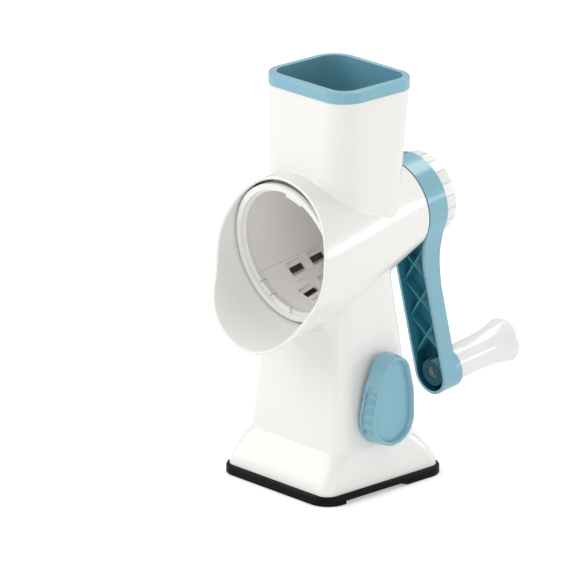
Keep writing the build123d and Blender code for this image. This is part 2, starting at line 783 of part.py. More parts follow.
# ---------------------------------------------------------------- crank arm
arm_end = crank_radius + arm_half_width
nut_seat = arm_front + arm_nut_seat
pin_boss_front = nut_seat - nut_height - turning_clearance
with BuildPart() as crank_arm:
    with BuildSketch(arm_plane(hub_rear)):
        crank_outline(0)
    extrude(amount=hub_rear - arm_front)
    # the back of the arm slopes from the hub's depth to its own
    with BuildSketch(Plane(origin=axis_origin, x_dir=rearward, z_dir=rearward.cross(outward))):
        Polygon(
            (arm_rear, arm_end + spare),
            (arm_rear, arm_slope_end),
            (hub_rear, arm_slope_start),
            (hub_rear + spare, arm_slope_start),
            (hub_rear + spare, arm_end + spare),
            align=None,
        )
    extrude(amount=hub_radius, both=True, mode=Mode.SUBTRACT)
    tube(across(hub_rear), hub_radius, 0, hub_depth)
    tube(handle_plane(boss_rear), arm_half_width, 0, boss_rear - arm_front)
    # open channel towards the barrel
    with BuildSketch(arm_plane(arm_floor)):
        crank_outline(arm_wall)
    extrude(amount=arm_floor - hub_front, mode=Mode.SUBTRACT)
    # crossed ribs and bosses in the channel
    with BuildSketch(arm_plane(arm_floor)):
        for row in range(arm_rib_count):
            with Locations((arm_rib_start + row * arm_rib_pitch, 0)):
                Rectangle(2 * arm_rib_pitch, arm_rib_thickness, rotation=45)
                Rectangle(2 * arm_rib_pitch, arm_rib_thickness, rotation=-45)
        Rectangle(2 * crank_radius, 2 * (arm_half_width - arm_wall / 2), mode=Mode.INTERSECT)
    extrude(amount=arm_floor - arm_front - arm_rib_inset)
    tube(arm_plane(arm_floor), hub_boss_radius, 0, arm_floor - hub_front)
    tube(handle_plane(arm_floor), arm_boss_radius, 0, arm_floor - pin_boss_front)
    # square for the spindle and bore for the handle pin
    with BuildSketch(across(hub_rear)):
        Rectangle(spindle_square + 2 * seat_clearance, spindle_square + 2 * seat_clearance)
    extrude(amount=hub_depth, mode=Mode.SUBTRACT)
    pin_hole = boss_rear - nut_seat
    tube(handle_plane(boss_rear), pin_thread_radius + seat_clearance, 0, pin_hole, Mode.SUBTRACT)
    # pocket that holds the nut
    with BuildSketch(handle_plane(nut_seat)):
        RegularPolygon(nut_across_flats / 2 + seat_clearance, 6, major_radius=False)
    extrude(amount=nut_seat - pin_boss_front, mode=Mode.SUBTRACT)

# ---------------------------------------------------------------- handle
head_front = grip_rear - plug_thickness - turning_clearance - pin_head_height
counterbore_front = head_front - turning_clearance
with BuildPart() as handle_pin:
    tube(handle_plane(boss_rear), pin_thread_radius, 0, pin_hole + nut_height + turning_clearance)
    tube(handle_plane(head_front), pin_radius, 0, head_front - boss_rear)
    tube(handle_plane(head_front + pin_head_height), pin_head_radius, 0, pin_head_height)

with BuildPart() as handle_nut:
    with BuildSketch(handle_plane(nut_seat)):
        RegularPolygon(nut_across_flats / 2, 6, major_radius=False)
        Circle(pin_thread_radius + seat_clearance, mode=Mode.SUBTRACT)
    extrude(amount=nut_height)

with BuildPart() as grip_sleeve:
    with BuildSketch(Plane(origin=handle_centre, x_dir=rearward, z_dir=rearward.cross(outward))):
        with BuildLine():
            flare = Spline(
                (grip_front, grip_root_radius),
                (grip_front + grip_length * grip_waist_share, grip_waist_radius),
                (grip_front + grip_length * grip_flare_share, grip_flare_radius),
                (grip_front + grip_length * grip_rise_share, grip_rise_radius),
                (grip_rear - grip_nose_round, grip_end_radius),
            )
            nose_front = grip_rear - grip_nose_round
            nose_rim = grip_end_radius - grip_nose_round
            nose_reach = grip_nose_round / sqrt(2)
            nose_middle = (nose_front + nose_reach, nose_rim + nose_reach)
            nose = ThreePointArc(flare @ 1, nose_middle, (grip_rear, nose_rim))
            Polyline(nose @ 1, (grip_rear, 0), (grip_front, 0), flare @ 0)
        make_face()
    revolve(axis=handle_axis)
    tube(handle_plane(grip_rear), pin_radius + running_clearance, 0, grip_length, Mode.SUBTRACT)
    tube(handle_plane(grip_rear), plug_radius, 0, grip_rear - counterbore_front, Mode.SUBTRACT)

with BuildPart() as grip_plug:
    tube(handle_plane(grip_rear), plug_radius - seat_clearance, 0, plug_thickness)

# ---------------------------------------------------------------- suction pad
pad_half_x = base_half_x + pad_overhang
pad_half_y = base_half_y + pad_overhang
stud_base = base_top - lift_travel - stud_disc_thickness - cam_gap
with BuildPart() as suction_pad:
    with BuildSketch():
        RectangleRounded(2 * pad_half_x, 2 * pad_half_y, pad_corner_radius)
    extrude(amount=pad_height)
    fillet(faces().sort_by(Axis.Z)[-1].edges(), pad_edge_round)
    room_half_x = pad_half_x - pad_flange_width
    room_half_y = pad_half_y - pad_flange_width
    with BuildSketch(Plane.XY.offset(pad_membrane)):
        RectangleRounded(2 * room_half_x, 2 * room_half_y, pad_corner_radius)
    extrude(amount=pad_height, mode=Mode.SUBTRACT)
    tube(Plane.XY, pad_boss_radius, 0, pad_boss_height)
    # notch to get a finger under the edge
    with BuildSketch(Plane.YZ.offset(pad_half_x - notch_depth)):
        Polygon(
            (notch_front, -spare),
            (notch_front, notch_height),
            (notch_full, notch_height),
            (notch_rear, 0),
            (notch_rear, -spare),
            align=None,
        )
    extrude(amount=2 * notch_depth, mode=Mode.SUBTRACT)
    # room for the stud's disc and stem
    disc_room = stud_disc_thickness + 2 * cam_gap
    tube(Plane.XY.offset(stud_base - cam_gap), stud_disc_radius + cam_gap, 0, disc_room, Mode.SUBTRACT)
    tube(Plane.XY.offset(stud_base), stud_radius + cam_gap, 0, pad_height, Mode.SUBTRACT)

# ---------------------------------------------------------------- base plate and its screws
guide_radius = stem_radius + running_clearance
plate_half_x, plate_half_y, plate_corner = skirt_half(plate_top)
plate_inset = wall + loose_clearance
with BuildPart() as base_plate:
    with BuildSketch(Plane.XY.offset(base_top)):
        RectangleRounded(
            2 * (plate_half_x - plate_inset),
            2 * (plate_half_y - plate_inset),
            plate_corner - plate_inset,
        )
    extrude(amount=plate_thickness)
    tube(Plane.XY.offset(base_top), guide_radius + guide_wall, 0, guide_top - base_top)
    tube(Plane.XY.offset(base_top), guide_radius, 0, guide_top - base_top, Mode.SUBTRACT)
    # two uprights that carry the cam shaft
    for side in (-1, 1):
        middle = side * (bearing_gap + bearing_thickness) / 2
        with BuildSketch(Plane.YZ.offset(middle)):
            with Locations((0, (lever_height + plate_top) / 2)):
                Rectangle(2 * bearing_half_width, lever_height - plate_top)
            with Locations((0, lever_height)):
                Circle(bearing_half_width)
                Circle(shaft_radius + running_clearance, mode=Mode.SUBTRACT)
        extrude(amount=bearing_thickness / 2, both=True)
    with BuildSketch(Plane.XY.offset(base_top)):
        with Locations(*screw_places):
            Circle(base_screw_radius + seat_clearance)
    extrude(amount=plate_thickness, mode=Mode.SUBTRACT)
    with BuildSketch(Plane.XY.offset(base_top)):
        with Locations(*screw_places):
            Circle(base_screw_head_radius + loose_clearance)
    extrude(amount=base_screw_head_height, mode=Mode.SUBTRACT)

with BuildPart() as base_screws:
    with BuildSketch(Plane.XY.offset(base_top)):
        with Locations(*screw_places):
            Circle(base_screw_head_radius)
    extrude(amount=base_screw_head_height)
    with BuildSketch(Plane.XY.offset(base_top)):
        with Locations(*screw_places):
            Circle(base_screw_radius)
    extrude(amount=base_screw_head_height + base_screw_length)

# ---------------------------------------------------------------- suction lever, cam and plunger
knob_front = knob_back + knob_depth
cover_back = knob_front - knob_recess - knob_cover_thickness
socket_front = cover_back - knob_face
head_seat = cover_back - lever_screw_head_height - cam_gap
with BuildPart() as lever_bush:
    bush_flange = lever_bush_radius + lever_bush_flange_width
    flange_plane = lever_plane(lever_boss_inner - lever_bush_flange_thickness)
    tube(lever_plane(lever_boss_inner), lever_bush_radius, shaft_bore_radius, lever_boss_reach)
    tube(flange_plane, bush_flange, shaft_bore_radius, lever_bush_flange_thickness)

with BuildPart() as cam_shaft:
    tube(lever_plane(shaft_inner_end), shaft_radius, 0, knob_back - shaft_inner_end)
    with BuildSketch(lever_plane(knob_back)):
        Rectangle(shaft_square, shaft_square)
    extrude(amount=socket_front - knob_back)
    screw_hole = lever_screw_radius + seat_clearance
    tube(lever_plane(socket_front - lever_screw_length), screw_hole, 0, lever_screw_length, Mode.SUBTRACT)
    with BuildSketch(Plane.XY.offset(lever_height - cam_base_radius)):
        Circle(cam_pin_radius + seat_clearance)
    extrude(amount=2 * cam_base_radius, mode=Mode.SUBTRACT)

with BuildPart() as lift_cam:
    with BuildSketch(lever_plane(-cam_width / 2)):
        with BuildLine():
            rise = Spline(*[cam_point(radians(lever_range) * step / 4) for step in range(5)])
            base = ThreePointArc((0, -cam_base_radius), (cam_base_radius, 0), (0, cam_base_radius))
            Line(base @ 1, rise @ 0)
            Line(rise @ 1, base @ 0)
        make_face()
        Circle(shaft_radius + seat_clearance, mode=Mode.SUBTRACT)
    extrude(amount=cam_width)
    with BuildSketch(Plane.XY.offset(lever_height - 2 * cam_base_radius)):
        Circle(cam_pin_radius + seat_clearance)
    extrude(amount=4 * cam_base_radius, mode=Mode.SUBTRACT)

with BuildPart() as cam_pin:
    with BuildSketch(Plane.XY.offset(lever_height - cam_base_radius + spare)):
        Circle(cam_pin_radius)
    extrude(amount=2 * (cam_base_radius - spare))

with BuildPart() as lever_knob:
    with BuildSketch(lever_plane(knob_back)):
        knob_outline(-knob_flare)
    extrude(amount=knob_depth)
    front_face = faces().sort_by(Axis.X)[-1]
    chamfer(front_face.edges(), knob_flare, knob_depth - knob_foot, reference=front_face)
    fillet(faces().sort_by(Axis.X)[-1].outer_wire().edges(), knob_round)
    # recessed face, and the hollow behind it
    with BuildSketch(lever_plane(cover_back)):
        knob_outline(knob_rim)
    extrude(amount=knob_depth, mode=Mode.SUBTRACT)
    with BuildSketch(lever_plane(knob_back)):
        knob_outline(knob_wall)
        Circle(knob_boss_radius, mode=Mode.SUBTRACT)
    extrude(amount=socket_front - knob_back, mode=Mode.SUBTRACT)
    with BuildSketch(lever_plane(knob_back)):
        Rectangle(shaft_square + 2 * seat_clearance, shaft_square + 2 * seat_clearance)
    extrude(amount=socket_front - knob_back, mode=Mode.SUBTRACT)
    tube(lever_plane(socket_front), lever_screw_radius + seat_clearance, 0, knob_face, Mode.SUBTRACT)
    tube(lever_plane(head_seat), lever_screw_head_radius + cam_gap, 0, cover_back - head_seat, Mode.SUBTRACT)
    # finger grooves along the front flank
    with BuildSketch(lever_plane(knob_back + flute_back_margin)):
        with Locations(*[flute_place(row) for row in range(flute_count)]):
            Circle(flute_radius)
    extrude(amount=knob_depth - flute_back_margin - flute_front_margin, mode=Mode.SUBTRACT)

with BuildPart() as lever_screw:
    screw_tip = socket_front - lever_screw_length + spare
    tube(lever_plane(screw_tip), lever_screw_radius, 0, head_seat - screw_tip)
    tube(lever_plane(head_seat), lever_screw_head_radius, 0, lever_screw_head_height)

with BuildPart() as knob_cover:
    with BuildSketch(lever_plane(cover_back)):
        knob_outline(knob_rim + seat_clearance)
    extrude(amount=knob_cover_thickness)

yoke_top = lever_height + cam_base_radius + cam_gap
yoke_foot = lever_height - cam_base_radius - 2 * lift_travel - turning_clearance
yoke_half = cam_base_radius + lift_travel + 2 * turning_clearance
stem_foot = pad_boss_height + turning_clearance
stud_top = stem_foot + stud_reach
pin_height = stem_foot + stud_reach / 2
with BuildPart() as plunger_yoke:
    with BuildSketch(Plane.YZ):
        with Locations((0, (yoke_top + yoke_foot) / 2)):
            Rectangle(2 * (yoke_half + yoke_side), yoke_top - yoke_foot + 2 * yoke_bar)
            Rectangle(2 * yoke_half, yoke_top - yoke_foot, mode=Mode.SUBTRACT)
    extrude(amount=yoke_width / 2, both=True)
    tube(Plane.XY.offset(stem_foot), stem_radius, 0, yoke_foot - yoke_bar - stem_foot)
    tube(Plane.XY.offset(stem_foot), stud_radius + seat_clearance, 0, stud_reach + spare, Mode.SUBTRACT)
    with BuildSketch(Plane.XZ):
        with Locations((0, pin_height)):
            Circle(stud_pin_radius + seat_clearance)
    extrude(amount=stem_radius + spare, both=True, mode=Mode.SUBTRACT)

with BuildPart() as pad_stud:
    tube(Plane.XY.offset(stud_base), stud_disc_radius, 0, stud_disc_thickness)
    tube(Plane.XY.offset(stud_base), stud_radius, 0, stud_top - stud_base)
    with BuildSketch(Plane.XZ):
        with Locations((0, pin_height)):
            Circle(stud_pin_radius + seat_clearance)
    extrude(amount=stem_radius, both=True, mode=Mode.SUBTRACT)

with BuildPart() as stud_pin:
    with BuildSketch(Plane.XZ):
        with Locations((0, pin_height)):
            Circle(stud_pin_radius)
    extrude(amount=stem_radius - loose_clearance, both=True)

# ---------------------------------------------------------------- files
pieces = {
    "main_housing": main_housing,
    "hopper_collar": hopper_collar,
    "drum_frame": drum_frame,
    "spindle": spindle,
    "spindle_screws": spindle_screws,
    "rear_bush": rear_bush,
    "hub_washer": hub_washer,
    "cap_nut": cap_nut,
    "cap_insert": cap_insert,
    "crank_arm": crank_arm,
    "handle_pin": handle_pin,
    "handle_nut": handle_nut,
    "grip_sleeve": grip_sleeve,
    "grip_plug": grip_plug,
    "suction_pad": suction_pad,
    "base_plate": base_plate,
    "base_screws": base_screws,
    "lever_bush": lever_bush,
    "cam_shaft": cam_shaft,
    "lift_cam": lift_cam,
    "cam_pin": cam_pin,
    "lever_knob": lever_knob,
    "lever_screw": lever_screw,
    "knob_cover": knob_cover,
    "plunger_yoke": plunger_yoke,
    "pad_stud": pad_stud,
    "stud_pin": stud_pin,
}
for number, blade_panel in enumerate(blade_panels, 1):
    pieces[f"blade_panel_{number}"] = blade_panel
for number, ice_blade in enumerate(ice_blades, 1):
    pieces[f"ice_blade_{number:02d}"] = ice_blade

os.makedirs("parts", exist_ok=True)
for name, piece in pieces.items():
    piece.part.label = name
    export_step(piece.part, f"parts/{name}.step")
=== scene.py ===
import json
import math

import bmesh
import bpy
from mathutils import Matrix, Vector
from mathutils.bvhtree import BVHTree


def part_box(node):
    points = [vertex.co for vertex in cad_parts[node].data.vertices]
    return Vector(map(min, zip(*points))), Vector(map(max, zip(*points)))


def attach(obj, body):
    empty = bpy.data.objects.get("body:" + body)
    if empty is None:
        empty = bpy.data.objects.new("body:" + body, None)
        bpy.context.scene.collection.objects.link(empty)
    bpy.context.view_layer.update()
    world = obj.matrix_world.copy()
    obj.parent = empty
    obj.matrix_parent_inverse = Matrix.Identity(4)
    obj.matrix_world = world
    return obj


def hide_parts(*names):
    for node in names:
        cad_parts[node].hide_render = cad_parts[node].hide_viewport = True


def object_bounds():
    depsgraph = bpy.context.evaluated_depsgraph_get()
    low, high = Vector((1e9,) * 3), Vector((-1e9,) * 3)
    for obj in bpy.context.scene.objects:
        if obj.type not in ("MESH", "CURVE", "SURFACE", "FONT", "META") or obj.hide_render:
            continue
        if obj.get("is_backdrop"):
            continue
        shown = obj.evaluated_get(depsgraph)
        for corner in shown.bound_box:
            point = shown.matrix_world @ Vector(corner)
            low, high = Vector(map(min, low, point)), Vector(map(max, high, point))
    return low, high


# Hand cranked ice shaver. Metres, +Z up. The mouth faces -Y and the lever is on the +X side.

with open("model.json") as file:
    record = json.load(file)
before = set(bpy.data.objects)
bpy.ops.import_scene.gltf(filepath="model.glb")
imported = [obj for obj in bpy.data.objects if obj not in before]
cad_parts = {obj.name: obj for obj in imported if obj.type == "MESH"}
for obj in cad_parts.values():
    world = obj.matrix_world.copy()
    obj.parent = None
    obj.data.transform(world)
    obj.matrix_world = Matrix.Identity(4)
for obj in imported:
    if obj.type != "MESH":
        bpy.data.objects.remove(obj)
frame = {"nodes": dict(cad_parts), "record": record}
nodes = frame["nodes"]
low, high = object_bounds()

MM = 0.001
TILT = math.radians(7.2)            # barrel axis, mouth end low
AXIS_HEIGHT = 171.3 * MM
ARM_LEAN = math.radians(6.5)        # crank arm, from straight down towards +X
REARWARD = Vector((0, math.cos(TILT), math.sin(TILT)))
BARREL_UP = Vector((0, -math.sin(TILT), math.cos(TILT)))
SIDEWAYS = Vector((1, 0, 0))
AXIS_POINT = Vector((0, 0, AXIS_HEIGHT))
ARM_OUT = SIDEWAYS * math.sin(ARM_LEAN) - BARREL_UP * math.cos(ARM_LEAN)
ARM_SIDE = REARWARD.cross(ARM_OUT)

# ---------------------------------------------------------------- finishes, and colours with painted light and shade
NOISE_LOW, NOISE_HIGH = 0.2, 0.8    # part of a noise's range that is spread over two values
FLOW_SCALE = 16.0                   # broad flow marks in the plastic
SHEEN_SCALE = 30.0                  # waves in its gloss
GRAIN_SCALE = 420.0
LINE_SCALE = 300.0                  # grinding and turning lines
GRAIN_HEIGHT = 0.00005
PLASTIC_SHEEN_DRIFT = 0.04          # share by which the roughness drifts each way
METAL_SHEEN_DRIFT = 0.2
METAL_SHADE = 0.86                  # darker tone of the lines
METAL_RELIEF = 0.12
COAT_ROUGHNESS = 0.08
PLASTIC_IOR = 1.48


def new_material(name):
    """A material with nodes, its shader and the object coordinates."""
    material = bpy.data.materials.new(name)
    material.use_nodes = True
    tree = material.node_tree
    shader = tree.nodes["Principled BSDF"]
    place = tree.nodes.new("ShaderNodeTexCoord")
    return material, tree, shader, place


def noise(tree, place, scale, detail):
    """Noise on object coordinates."""
    node = tree.nodes.new("ShaderNodeTexNoise")
    node.inputs["Scale"].default_value = scale
    node.inputs["Detail"].default_value = detail
    tree.links.new(place.outputs["Object"], node.inputs["Vector"])
    return node


def spread(tree, source, low_value, high_value):
    """Maps a noise's middle range softly onto two values."""
    node = tree.nodes.new("ShaderNodeMapRange")
    node.interpolation_type = "SMOOTHSTEP"
    node.inputs["From Min"].default_value = NOISE_LOW
    node.inputs["From Max"].default_value = NOISE_HIGH
    node.inputs["To Min"].default_value = low_value
    node.inputs["To Max"].default_value = high_value
    tree.links.new(source.outputs["Fac"], node.inputs["Value"])
    return node


def tint(tree, shader, source, dark, light):
    """Base colour that drifts between two near tones."""
    mix = tree.nodes.new("ShaderNodeMix")
    mix.data_type = "RGBA"
    mix.inputs["A"].default_value = (*dark, 1)
    mix.inputs["B"].default_value = (*light, 1)
    tree.links.new(source.outputs["Result"], mix.inputs["Factor"])
    tree.links.new(mix.outputs["Result"], shader.inputs["Base Color"])


def grain(tree, shader, source, strength):
    """Fine relief of the surface."""
    bump = tree.nodes.new("ShaderNodeBump")
    bump.inputs["Strength"].default_value = strength
    bump.inputs["Distance"].default_value = GRAIN_HEIGHT
    tree.links.new(source.outputs["Fac"], bump.inputs["Height"])
    tree.links.new(bump.outputs["Normal"], shader.inputs["Normal"])


def sheen(tree, shader, source, gloss, drift):
    """Roughness that drifts by a share to both sides of its value."""
    wave = spread(tree, source, gloss * (1 - drift), gloss * (1 + drift))
    tree.links.new(wave.outputs["Result"], shader.inputs["Roughness"])


def moulded(name, colour, gloss, coat, relief=0.02, drift=0.996, shine=0.5):
    """Injection moulded plastic: even colour, faint flow marks and a slightly wavy gloss."""
    material, tree, shader, place = new_material(name)
    flow = spread(tree, noise(tree, place, FLOW_SCALE, 1.0), 0.0, 1.0)
    tint(tree, shader, flow, tuple(c * drift for c in colour), colour)
    sheen(tree, shader, noise(tree, place, SHEEN_SCALE, 2.0), gloss, PLASTIC_SHEEN_DRIFT)
    grain(tree, shader, noise(tree, place, GRAIN_SCALE, 2.0), relief)
    shader.inputs["Coat Weight"].default_value = coat
    shader.inputs["Coat Roughness"].default_value = COAT_ROUGHNESS
    shader.inputs["IOR"].default_value = PLASTIC_IOR
    shader.inputs["Specular IOR Level"].default_value = shine
    return material


def metal(name, colour, gloss, stretch):
    """Ground or turned metal with fine lines along one direction."""
    material, tree, shader, place = new_material(name)
    mapping = tree.nodes.new("ShaderNodeMapping")
    mapping.inputs["Scale"].default_value = stretch
    tree.links.new(place.outputs["Object"], mapping.inputs["Vector"])
    lines = tree.nodes.new("ShaderNodeTexNoise")
    lines.inputs["Scale"].default_value = LINE_SCALE
    lines.inputs["Detail"].default_value = 4.0
    tree.links.new(mapping.outputs["Vector"], lines.inputs["Vector"])
    shade = spread(tree, lines, 0.0, 1.0)
    tint(tree, shader, shade, tuple(c * METAL_SHADE for c in colour), colour)
    sheen(tree, shader, lines, gloss, METAL_SHEEN_DRIFT)
    grain(tree, shader, lines, METAL_RELIEF)
    shader.inputs["Metallic"].default_value = 1.0
    return material


TURNED = (1.0, 0.2, 1.0)            # stretch of the lines, by axis
GROUND = (1.0, 0.08, 1.0)

housing_white = moulded("housing_white_gloss", (0.84, 0.832, 0.805), 0.26, 0.35)
mouth_white = moulded("mouth_white_satin", (0.84, 0.825, 0.795), 0.34, 0.1)
# Near-black grey for the chamber's inside: painted shade behind the drum, not a grey material.
chamber_painted_shade = moulded("chamber_painted_shade_matt", (0.16, 0.14, 0.125), 0.6, 0.0, 0.15, 0.9, 0.2)
# Lighter, glossier copy of the drum's white for its front ring: painted light on the lit ring.
ring_painted_light = moulded("ring_painted_light_gloss", (0.84, 0.835, 0.82), 0.3, 0.3)
grip_white = moulded("grip_white_gloss", (0.83, 0.825, 0.81), 0.2, 1.0)
# Drum white a shade darker and warmer than the housing white: painted shade of the drum's inside.
drum_white = moulded("drum_white_painted_shade_satin", (0.80, 0.785, 0.755), 0.34, 0.15, 0.1)
accent_blue = moulded("accent_blue_gloss", (0.218, 0.445, 0.54), 0.30, 0.3, 0.06, 0.995)
# Darker blue for the collar's inner wall: painted shade.
liner_painted_shade_blue = moulded("liner_painted_shade_blue_satin", (0.13, 0.33, 0.42), 0.34, 0.1, 0.1, 0.98)
# Darker and darkest blue for the crank's channel and its nut end: painted shade.
channel_painted_shade = moulded("channel_painted_shade_satin", (0.036, 0.225, 0.31), 0.36, 0.0, 0.15, 0.9, 0.2)
pocket_painted_shade = moulded("pocket_painted_shade_satin", (0.010, 0.085, 0.125), 0.4, 0.0, 0.15, 0.9, 0.15)
# Dark bluish steel for the handle's nut and pin deep in the channel: painted shade.
pocket_steel_painted_shade = metal("pocket_steel_painted_shade", (0.16, 0.20, 0.22), 0.45, TURNED)
bush_nylon = moulded("bush_nylon", (0.70, 0.68, 0.60), 0.5, 0.0, 0.2)
base_plastic = moulded("base_plate_matt", (0.62, 0.62, 0.61), 0.5, 0.0, 0.2)
pad_rubber = moulded("pad_rubber_black", (0.006, 0.005, 0.005), 0.5, 0.0, 0.35, 0.7, 0.12)
blade_steel = metal("blade_steel_ground", (0.62, 0.63, 0.65), 0.26, GROUND)
turned_steel = metal("turned_steel", (0.45, 0.46, 0.48), 0.32, TURNED)
turned_brass = metal("turned_brass", (0.66, 0.47, 0.19), 0.30, TURNED)

SLOT_FINISH = {
    "housing_white": housing_white,
    "accent_blue": accent_blue,
    "drum_white": drum_white,
    "pad_rubber": pad_rubber,
    "blade_steel": blade_steel,
    "hardware_steel": turned_steel,
    "insert_brass": turned_brass,
    "bush_nylon": bush_nylon,
    "base_plastic": base_plastic,
}
# The grip takes its own white. The nut and pin take the steel with painted shade.
OWN_FINISH_AND_SHADE = {
    "handle_nut": pocket_steel_painted_shade,
    "handle_pin": pocket_steel_painted_shade,
    "grip_sleeve": grip_white,
    "grip_plug": grip_white,
}
slot_of = {row["node"]: row["material_slot"] for row in frame["record"]["subparts"]}
for name, node in nodes.items():
    node.data.materials.clear()
    node.data.materials.append(OWN_FINISH_AND_SHADE.get(name, SLOT_FINISH[slot_of[name]]))

# ---------------------------------------------------------------- camera, light and floor
PHOTO_LENS = 459.96                 # fitted to the photo's frame, with the place below
SENSOR_WIDTH = 36.0
CAMERA_PLACE = Matrix((
    (0.67210827, -0.22694731, 0.70481585, 3.50586321),
    (0.74042014, 0.21494209, -0.63684999, -3.2078334),
    (-0.0069632, 0.949892, 0.31250072, 1.69552716),
    (0, 0, 0, 1),
))
LIT_POINT = Vector((0, 0, 0.15))
ROOM_STRENGTH = 0.6
SEEN_STRENGTH = 1.0                 # white, for the camera alone
FLOOR_SIZE = 12.0
FLOOR_DROP = 0.2 * MM               # keeps the floor and the pad's underside out of one plane
FLOOR_ROUGHNESS = 0.8
FLOOR_SCALE = 3.0
FLOOR_GLOW = 0.35                   # for the camera alone

camera = bpy.data.cameras.new("photo_camera")
camera.lens = PHOTO_LENS
camera.sensor_width = SENSOR_WIDTH
camera.clip_start = 0.1
camera.clip_end = 60.0
camera_holder = bpy.data.objects.new("photo_camera", camera)
bpy.context.scene.collection.objects.link(camera_holder)
camera_holder.matrix_world = CAMERA_PLACE
bpy.context.scene.camera = camera_holder


def softbox(name, azimuth, elevation, distance, width, height, power):
    """Rectangular studio lamp. Azimuth 0 is in front of the mouth, 90 on the +X side."""
    turn, rise = math.radians(azimuth), math.radians(elevation)
    flat = math.cos(rise)
    back = Vector((math.sin(turn) * flat, -math.cos(turn) * flat, math.sin(rise)))
    lamp = bpy.data.lights.new(name, "AREA")
    lamp.shape = "RECTANGLE"
    lamp.size = width
    lamp.size_y = height
    lamp.energy = power
    holder = bpy.data.objects.new(name, lamp)
    bpy.context.scene.collection.objects.link(holder)
    holder.location = LIT_POINT + back * distance
    holder.rotation_euler = back.to_track_quat("Z", "Y").to_euler()
    holder.visible_camera = False


softbox("front_softbox", -40, 32, 1.8, 2.0, 1.6, 17.5)
softbox("right_softbox", 66, 8, 1.9, 1.5, 1.3, 6.5)
softbox("side_softbox", 145, 7, 1.5, 1.3, 0.2, 5)
softbox("back_softbox", -168, 62, 1.5, 1.0, 0.35, 7)
softbox("edge_strip", 40, -1, 1.6, 0.05, 0.55, 1.6)

world = bpy.data.worlds.new("studio")
bpy.context.scene.world = world
world.use_nodes = True
sky = world.node_tree
room_light = sky.nodes["Background"]
room_light.inputs["Color"].default_value = (1, 1, 1, 1)
room_light.inputs["Strength"].default_value = ROOM_STRENGTH
seen = sky.nodes.new("ShaderNodeBackground")
seen.inputs["Color"].default_value = (1, 1, 1, 1)
seen.inputs["Strength"].default_value = SEEN_STRENGTH
sky_rays = sky.nodes.new("ShaderNodeLightPath")
mix_sky = sky.nodes.new("ShaderNodeMixShader")
sky.links.new(sky_rays.outputs["Is Camera Ray"], mix_sky.inputs["Fac"])
sky.links.new(room_light.outputs["Background"], mix_sky.inputs[1])
sky.links.new(seen.outputs["Background"], mix_sky.inputs[2])
sky.links.new(mix_sky.outputs["Shader"], sky.nodes["World Output"].inputs["Surface"])

bm = bmesh.new()
bmesh.ops.create_grid(bm, x_segments=1, y_segments=1, size=FLOOR_SIZE)
bmesh.ops.translate(bm, vec=(0, 0, -FLOOR_DROP), verts=bm.verts)
floor_mesh = bpy.data.meshes.new("studio_floor")
bm.to_mesh(floor_mesh)
bm.free()
floor = bpy.data.objects.new("studio_floor", floor_mesh)
bpy.context.scene.collection.objects.link(floor)
floor_paint, tree, shader, place = new_material("floor_paint")
shader.inputs["Roughness"].default_value = FLOOR_ROUGHNESS
clouds = spread(tree, noise(tree, place, FLOOR_SCALE, 3.0), 0.0, 1.0)
tint(tree, shader, clouds, (0.86, 0.86, 0.86), (0.88, 0.88, 0.88))
floor_rays = tree.nodes.new("ShaderNodeLightPath")
lift = tree.nodes.new("ShaderNodeMath")
lift.operation = "MULTIPLY"
lift.inputs[1].default_value = FLOOR_GLOW
tree.links.new(floor_rays.outputs["Is Camera Ray"], lift.inputs[0])
tree.links.new(lift.outputs["Value"], shader.inputs["Emission Strength"])
shader.inputs["Emission Color"].default_value = (1, 1, 1, 1)
floor_mesh.materials.append(floor_paint)
floor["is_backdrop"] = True

bpy.context.scene.view_settings.view_transform = "Standard"

# ---------------------------------------------------------------- piece helpers
SAME_PLACE = 1e-6


def round_edges(bm, edges, radius, steps):
    """Rounds edges of a mesh in work."""
    bmesh.ops.bevel(
        bm, geom=edges, offset=radius, segments=steps, affect="EDGES", profile=0.5, material=-1
    )


def finish_piece(bm, name, body, finish, replaced, sharp):
    """Makes a finished piece of a mesh in work: smooth shaded, with its finish, body and slot."""
    bmesh.ops.recalc_face_normals(bm, faces=bm.faces)
    mesh = bpy.data.meshes.new(name)
    bm.to_mesh(mesh)
    bm.free()
    for face in mesh.polygons:
        face.use_smooth = True
    mesh.set_sharp_from_angle(angle=sharp)
    mesh.materials.append(finish)
    piece = bpy.data.objects.new(name, mesh)
    bpy.context.scene.collection.objects.link(piece)
    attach(piece, body)
    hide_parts(*replaced)
    return piece


def cut_away(piece, cutters, sharp):
    """Cuts each mesh in work out of a piece, one after the other, and marks its sharp edges."""
    for cutter in cutters:
        mesh = bpy.data.meshes.new("cutter")
        cutter.to_mesh(mesh)
        cutter.free()
        tool = bpy.data.objects.new("cutter", mesh)
        bpy.context.scene.collection.objects.link(tool)
        cut = piece.modifiers.new("cut", "BOOLEAN")
        cut.object = tool
        cut.operation = "DIFFERENCE"
        cut.solver = "EXACT"
        bpy.context.view_layer.update()
        depsgraph = bpy.context.evaluated_depsgraph_get()
        result = bpy.data.meshes.new_from_object(piece.evaluated_get(depsgraph))
        piece.modifiers.clear()
        piece.data = result
        bpy.data.objects.remove(tool)
    piece.data.set_sharp_from_angle(angle=sharp)


# ---------------------------------------------------------------- suction pad
PAD_CORNER = 15.5 * MM
PAD_CORNER_STEPS = 14
PAD_EDGE_ROUND = 1.6 * MM
PAD_EDGE_STEPS = 4
PAD_LIP_ROUND = 0.6 * MM
PAD_LIP_STEPS = 2
PAD_SHARP = math.radians(35)
UPRIGHT_MIN = 1e-4                  # least rise of an upright edge
NOTCH_HEIGHT = 2.8 * MM
NOTCH_DEPTH = 5.0 * MM
NOTCH_FRONT = -38.5 * MM
NOTCH_FULL = 11.0 * MM              # its roof slopes down from here to the rear
NOTCH_REAR = 27.0 * MM
NOTCH_ROUND = 1.2 * MM
NOTCH_STEPS = 4


def flat_edges(bm, height):
    """Edges that lie at a height."""
    return [e for e in bm.edges if all(abs(v.co.z - height) < SAME_PLACE for v in e.verts)]


